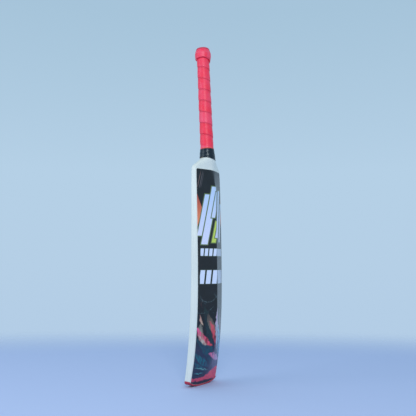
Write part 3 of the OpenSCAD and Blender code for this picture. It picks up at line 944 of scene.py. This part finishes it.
def make_grip(material):
    """Padded tape wound up the handle in one helix."""
    skin = close_grip(*grip_skin())
    piece = make_piece("grip_wrap_tape", *skin, material, "grip_red", to_handle)
    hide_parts("grip_wrap")


def revolve(outline):
    """A closed skin round the handle: outline(phi) gives (l, radius) points, the same number each time."""
    columns = [outline(phi) for phi in PHI]
    rings = [np.array([(r * math.cos(p), r * math.sin(p), l) for l, r in column])
             for p, column in zip(PHI, columns)]
    return loft(rings, loop=True)


# The knob's lower edge: where it starts to wind down, over what angle, and how steeply it climbs back
DROP_PHI, DROP_ARC = math.radians(42), math.radians(186)
CLIMB_ARC, CLIMB_H = math.radians(28), 12.5


def knob_drop(phi):
    """How far the knob's lower edge has wound down at phi: level, then down the helix, then back."""
    on = (phi - DROP_PHI) % TURN
    down = on * PITCH / TURN
    back = (DROP_ARC - on) / CLIMB_ARC * CLIMB_H
    return max(0.0, min(down, back)) if on < DROP_ARC else 0.0


def knob_outline(phi):
    """The wrap over the knob: wound-down foot, upright wall, crisp shoulder and straight taper."""
    drop = knob_drop(phi)
    edge_l = KNOB_L - drop
    edge_r = KNOB_R - 3.3 * float(smooth(drop / 14)) - 0.3
    ripple = 0.12 * math.sin(3 * phi + 1) + 0.08 * math.sin(7 * phi)
    wall_r = KNOB_R + 0.4 + ripple
    outer = soft_line([
        (CANE_L + 0.4, knob_taper(CANE_L) - 0.6), (CANE_L - 0.2, knob_taper(CANE_L) + 0.9 + ripple),
        (CANE_L - 3.5, knob_taper(CANE_L - 3.5) + 0.95 + ripple), (KNOB_WALL_L + 1.8, wall_r - 0.25),
        (KNOB_WALL_L + 0.2, wall_r), (KNOB_WALL_L - 6, wall_r), (KNOB_L + 4, wall_r - 0.1 - 0.06 * drop),
        (edge_l + 1.6, edge_r + 0.3), (edge_l + 0.3, edge_r - 0.4), (edge_l + 0.1, edge_r - 1.4),
        (edge_l + 1.4, grip_r(edge_l) - 1.2)], 5)
    ring_foot, ring_top = KNOB_L + RING_GAP, CANE_L - RING_GAP
    bore = float(bound_r(KNOB_L)) + 0.05
    inner = [(edge_l + 1.6, bore), (ring_foot, bore), (ring_foot, RING_R),
             (ring_top - RING_SLOPE_H, RING_R), (ring_top, RING_R - RING_SLOPE_W), (ring_top, bore),
             (CANE_L + 0.3, bore)]
    return [*map(tuple, outer), *inner]


def make_knob(material):
    """The turns of tape over the knob, hollow round the padding ring."""
    piece = make_piece("knob_wrap_tape", *revolve(knob_outline), material, "grip_red", to_handle)
    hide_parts("knob_wrap")


def make_cap(material):
    """The butt cap: a round-edged disc with a shallow groove and a slightly domed middle."""
    outline = soft_line([
        (CANE_L - 0.1, knob_taper(CANE_L) + 0.2), (CANE_L + 1.5, knob_taper(CANE_L + 1.5) + 0.9),
        (RIM_L - 0.2, RIM_R + 1.0), (BUTT_L - 0.12, BUTT_R + 1.2), (BUTT_L - 0.02, BUTT_R - 0.4),
        (BUTT_L - 0.1, 12.6), (BUTT_L - 0.55, 12.0), (BUTT_L - 0.55, 11.4), (BUTT_L - 0.1, 10.8),
        (BUTT_L, 6.0), (BUTT_L + 0.05, 0.8)], 4)
    rings = [polar_ring(r, l, PHI) for l, r in outline]
    piece = make_piece("butt_cap_moulded", *loft(rings), material, "cap_rubber", to_handle)
    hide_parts("butt_cap")


def make_band(material):
    """The rolled edge of the tape that finishes the foot of the grip."""
    middle_l, middle_r = TAPE_H + BAND_H / 2 - 0.2, BAND_R - 0.6

    def outline(phi):
        sway = 0.35 * math.sin(phi + 0.6)
        fat = 1 + 0.08 * math.sin(4 * phi)
        return [(middle_l + sway + (BAND_H / 2 + 0.2) * math.sin(a) * fat,
                 middle_r + 1.25 * math.cos(a) * fat) for a in np.linspace(0, TURN, 20, endpoint=False)]
    piece = make_piece("grip_band_rolled", *revolve(outline), material, "grip_red", to_handle)
    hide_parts("grip_band")


# The tape's lower edge: its height where it is highest, that direction, and how far it falls behind
TAPE_EDGE_L, TAPE_EDGE_PHI, TAPE_FALL = -0.4, math.radians(-53.5), 8.0
COLLAR_NEAR = 18               # radius that turns an angle round the blade's top into a distance
TAPE_REACH = 14                # height of the blade's top that the tape may lie on
TAPE_LAP_L, TAPE_LAP_T = 9.0, 0.25    # height and thickness of the last turn's edge


def tape_foot(phi):
    """Height of the tape's lower edge: it runs lower down the back, on the far side."""
    return TAPE_EDGE_L - TAPE_FALL * (0.5 - 0.5 * math.cos(phi - TAPE_EDGE_PHI)) ** 1.3


def blade_top():
    """Points of the blade's skin under the throat: direction, radius and height along the handle."""
    angles = turn_angles()
    upright = (Matrix.Rotation(LEAN, 4, "X")).inverted()
    outlines = []
    for z in np.linspace(THROAT_Z - TAPE_REACH, THROAT_Z, 29):
        skin_ring = ring(float(z), LACQUER, angles)
        local = [upright @ Vector((x, y - AXIS_Y, h - THROAT_Z)) for x, y, h in skin_ring]
        outlines.append(np.array([tuple(p) for p in local]))
    skin = np.concatenate(outlines)
    return np.arctan2(skin[:, 1], skin[:, 0]) % TURN, np.hypot(skin[:, 0], skin[:, 1]), skin[:, 2]


def make_tape(material):
    """Black stretch tape round the flared throat, drawn down over the top of the blade."""
    skin_phi, skin_r, skin_l = blade_top()

    def blade_r(phi, l):
        away = np.abs((skin_phi - phi + math.pi) % TURN - math.pi)
        gap = away * COLLAR_NEAR + np.abs(skin_l - l)
        near = np.argsort(gap)[:6]
        weight = 1 / (gap[near] + 0.05)
        return float((skin_r[near] * weight).sum() / weight.sum())

    def outline(phi):
        foot = tape_foot(phi)
        rows = []
        for t in np.linspace(0, 1, 26):
            l = (TAPE_H + 0.6) * (1 - t) + foot * t
            r = TAPE_FOOT_R + (TAPE_TOP_R - TAPE_FOOT_R) * max(0.0, l) / TAPE_H
            wave = 0.18 * math.sin(5 * phi + l * 0.5) * math.sin(math.pi * t)
            r += wave + 0.1 * math.sin(11 * phi - l * 0.7)
            r += TAPE_LAP_T * float(smooth((l - TAPE_LAP_L - 2.2 * math.sin(phi)) / 0.8))
            if l < 1.0:
                r = max(r, blade_r(phi, min(l, 0.0)) + 0.55)
            rows.append((l, r))
        edge_l, edge_r = rows[-1]
        inner_r = min(float(bound_r(0.0)), edge_r - 0.6)
        half_l = TAPE_H / 2
        return rows + [(edge_l - 0.25, edge_r - 0.3), (edge_l + 0.1, edge_r - 0.75),
                       (edge_l + 1.0, inner_r), (half_l, float(bound_r(half_l))),
                       (TAPE_H + 0.6, float(bound_r(TAPE_H)))]
    piece = make_piece("throat_tape_wound", *revolve(outline), material, "black_tape", to_handle)
    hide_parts("throat_tape")


# ------------------------------------------------------------------------- the bat
CANE_SHIFT = 37.0              # how far one cane's grain is from the next one's


def dress(node, material):
    """Gives a solid that comes straight from the CAD its finish."""
    materials = frame["nodes"][node].data.materials
    materials.clear()
    materials.append(material)


make_blade(lacquer_finish())
make_label(label_finish())
make_guard(guard_finish())
make_tape(tape_finish())
make_grip(grip_finish())
make_knob(knob_finish())
make_band(band_finish())
make_cap(cap_finish())

sticks = [f"cane_{layer}_{stick}" for layer in ("front", "inner_front", "inner_back", "back")
          for stick in ("left", "middle", "right")]
for number, node in enumerate(sticks):
    dress(node, cane_finish(node + "_wood", CANE_SHIFT * number))
rubber = insert_finish()
for node in ("insert_front", "insert_middle", "insert_back"):
    dress(node, rubber)
dress("twine_binding", twine_finish())
dress("knob_ring", foam_finish())


# ------------------------------------------------------------------------- studio
VIEW_HEADING, VIEW_PITCH, VIEW_ROLL = (math.radians(a) for a in (53.47, 5.65, 0.33))
CAMERA_PLACE, CAMERA_LENS, CAMERA_FILM = Vector((1.1112, 0.8283, 0.3016)), 47.37, 36
FLOOR_HALF_W, FLOOR_HALF_D = 2.6, 1.15
KEY_WATTS, FILL_WATTS = 16, 7
BAT_MIDDLE = (0, 0, 0.45)


def make_floor():
    """A pale oval floor, laid out across the view, whose rim fades into the backdrop."""
    bpy.ops.mesh.primitive_circle_add(vertices=96, radius=1.0, fill_type="NGON")
    floor = bpy.context.object
    floor.name = "studio_floor"
    floor.location.z = cad_bounds[0].z
    floor.scale = (FLOOR_HALF_W, FLOOR_HALF_D, 1)
    floor.rotation_euler.z = -VIEW_HEADING
    material = bpy.data.materials.new("studio_floor")
    material.use_nodes = True
    tree = material.node_tree
    shader = tree.nodes["Principled BSDF"]
    shader.inputs["Roughness"].default_value = 0.8
    shader.inputs["IOR"].default_value = 1.3
    shader.inputs["Base Color"].default_value = (*rgb(199, 209, 240), 1)
    where = tree.nodes.new("ShaderNodeTexCoord")
    far = tree.nodes.new("ShaderNodeVectorMath")
    far.operation = "LENGTH"
    tree.links.new(where.outputs["Object"], far.inputs[0])
    fade = Field(tree, far.outputs["Value"]).ramp(0.4, 0.98)
    clear = tree.nodes.new("ShaderNodeBsdfTransparent")
    blend = tree.nodes.new("ShaderNodeMixShader")
    tree.links.new(fade.socket, blend.inputs[0])
    tree.links.new(shader.outputs[0], blend.inputs[1])
    tree.links.new(clear.outputs[0], blend.inputs[2])
    tree.links.new(blend.outputs[0], tree.nodes["Material Output"].inputs["Surface"])
    floor.data.materials.append(material)


def make_backdrop():
    """A pale blue world, a little deeper overhead."""
    world = bpy.data.worlds.new("backdrop")
    bpy.context.scene.world = world
    world.use_nodes = True
    tree = world.node_tree
    where = tree.nodes.new("ShaderNodeTexCoord")
    split = tree.nodes.new("ShaderNodeSeparateXYZ")
    tree.links.new(where.outputs["Generated"], split.inputs[0])
    ramp = tree.nodes.new("ShaderNodeValToRGB")
    tree.links.new(Field(tree, split.outputs[2]).ramp(-1.0, 1.0).socket, ramp.inputs[0])
    stops = ((0.0, rgb(172, 196, 230)), (0.5, rgb(181, 207, 230)), (0.62, rgb(181, 208, 230)),
             (0.8, rgb(166, 196, 218)))
    while len(ramp.color_ramp.elements) < len(stops):
        ramp.color_ramp.elements.new(0.5)
    for element, (place, colour) in zip(ramp.color_ramp.elements, stops):
        element.position = place
        element.color = (*colour, 1)
    tree.links.new(ramp.outputs[0], tree.nodes["Background"].inputs["Color"])
    tree.nodes["Background"].inputs["Strength"].default_value = 1.0


def make_light(name, place, aim, size, watts, colour):
    """A soft rectangular light at place that looks at aim."""
    data = bpy.data.lights.new(name, "AREA")
    data.shape = "RECTANGLE"
    data.size, data.size_y = size
    data.energy = watts
    data.color = colour
    light = bpy.data.objects.new(name, data)
    light.location = place
    light.rotation_euler = (Vector(aim) - Vector(place)).to_track_quat("-Z", "Y").to_euler()
    bpy.context.scene.collection.objects.link(light)


def make_camera():
    """The camera stands low at the spine side and looks slightly up, almost level."""
    level = Vector((-math.sin(VIEW_HEADING), -math.cos(VIEW_HEADING), 0))
    forward = level * math.cos(VIEW_PITCH) + Vector((0, 0, math.sin(VIEW_PITCH)))
    right = level.cross(Vector((0, 0, 1)))
    up = right.cross(forward)
    turned_right = right * math.cos(VIEW_ROLL) + up * math.sin(VIEW_ROLL)
    turned_up = up * math.cos(VIEW_ROLL) - right * math.sin(VIEW_ROLL)
    data = bpy.data.cameras.new("camera")
    data.lens, data.sensor_width = CAMERA_LENS, CAMERA_FILM
    camera = bpy.data.objects.new("camera", data)
    axes = Matrix((turned_right, turned_up, -forward)).transposed().to_4x4()
    camera.matrix_world = Matrix.Translation(CAMERA_PLACE) @ axes
    bpy.context.scene.collection.objects.link(camera)
    bpy.context.scene.camera = camera


make_floor()
make_backdrop()
make_light("key", (1.5, 1.25, 1.25), BAT_MIDDLE, (0.7, 1.3), KEY_WATTS, (1.0, 0.98, 0.96))
make_light("fill", (1.6, -0.9, 1.0), BAT_MIDDLE, (1.0, 1.4), FILL_WATTS, (0.92, 0.96, 1.0))
make_camera()
bpy.context.scene.view_settings.view_transform = "Standard"
